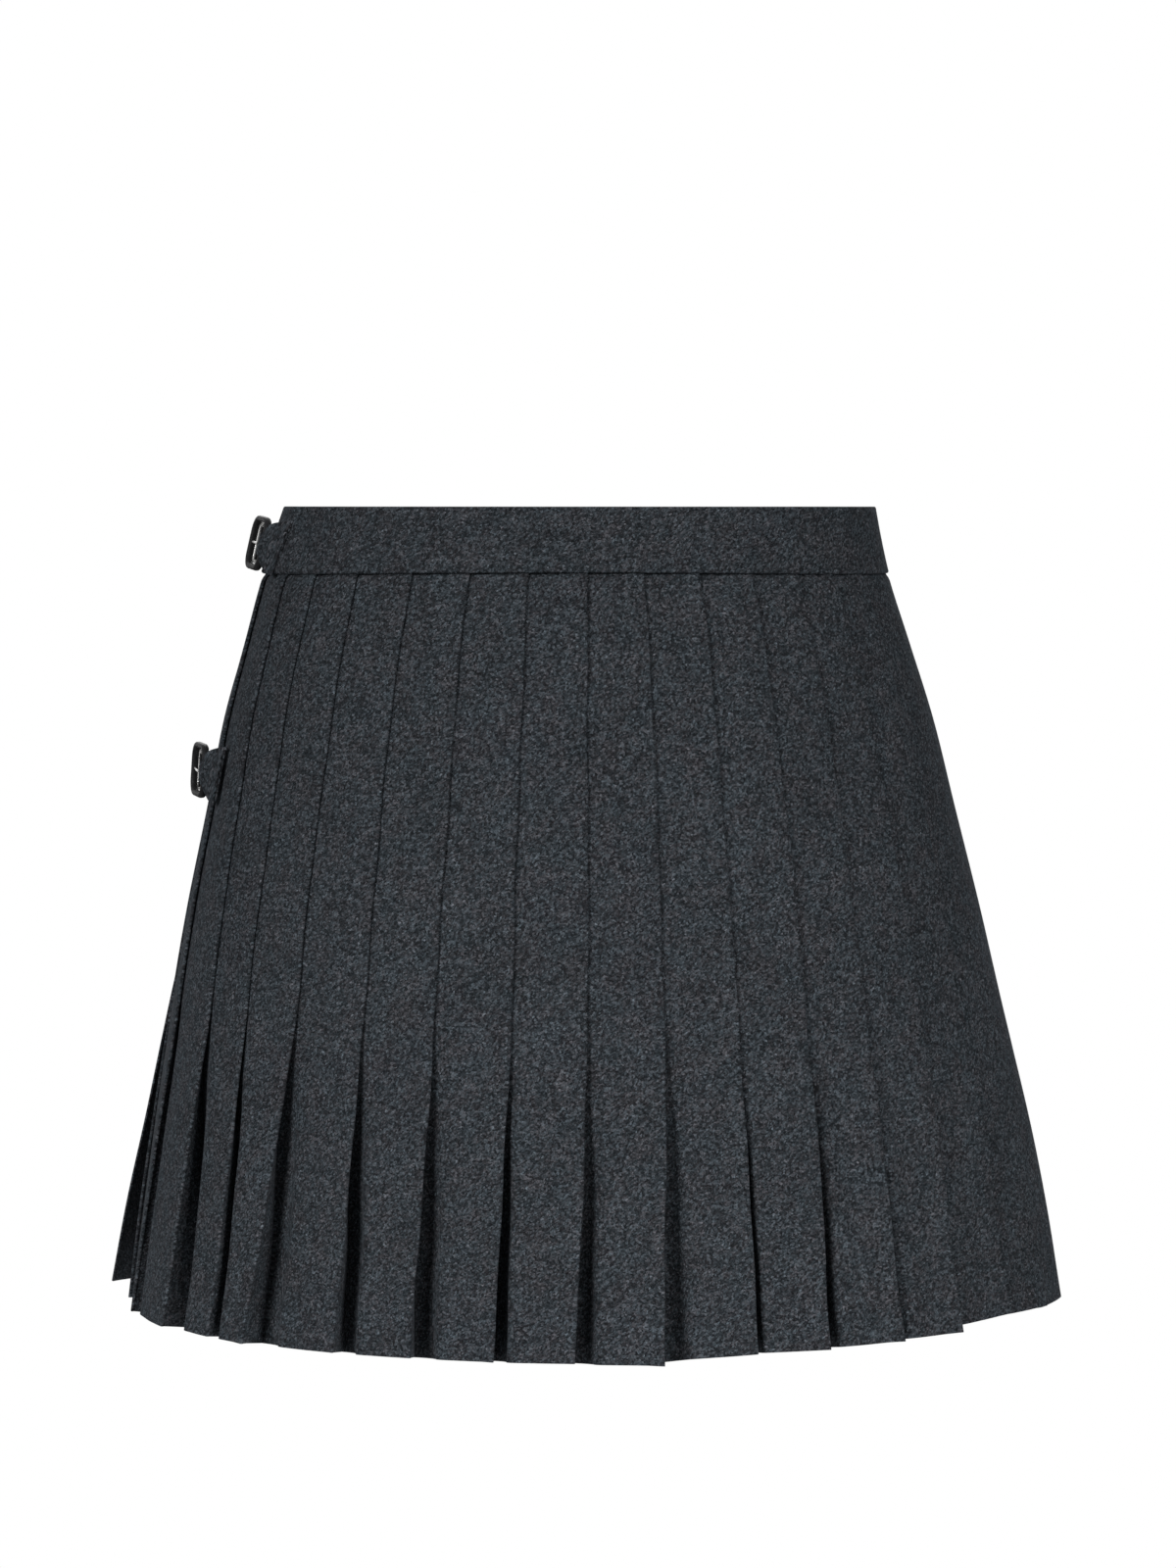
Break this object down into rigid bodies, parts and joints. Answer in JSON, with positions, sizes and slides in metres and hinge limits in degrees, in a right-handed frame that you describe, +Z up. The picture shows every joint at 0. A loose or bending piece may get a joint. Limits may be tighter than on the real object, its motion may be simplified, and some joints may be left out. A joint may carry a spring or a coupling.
{
  "type": "pleated mini skirt",
  "caption": "Charcoal wool pleated mini kilt with a straight waistband, plain wrapped front aprons and side straps through leather-covered buckles.",
  "frame": {"origin": "centre of the waistband ring, half-way up the band", "axes": "+Z up, pleated back towards -Y, plain apron front towards +Y, wearer's left hip with the buckles towards -X"},
  "size_m": [0.4379, 0.3015, 0.3668],
  "materials": {
    "wool": "matt brushed wool twill in a charcoal melange",
    "leather": "smooth black leather with a low sheen",
    "steel": "polished nickel-plated steel"
  },
  "bodies": {
    "root": {"pleated_panel_left_side": "wool", "pleated_panel_left_back": "wool", "pleated_panel_right_back": "wool", "pleated_panel_right_side": "wool", "over_apron": "wool", "under_apron": "wool", "waistband_under": "wool", "waistband_back": "wool", "waistband_front": "wool", "tab_upper": "wool", "tab_lower": "wool", "ring_upper": "leather", "ring_lower": "leather", "strap_upper": "leather", "strap_lower": "leather", "lining_upper": "steel", "lining_lower": "steel", "prong_upper": "steel", "prong_lower": "steel"}
  },
  "joints": []
}
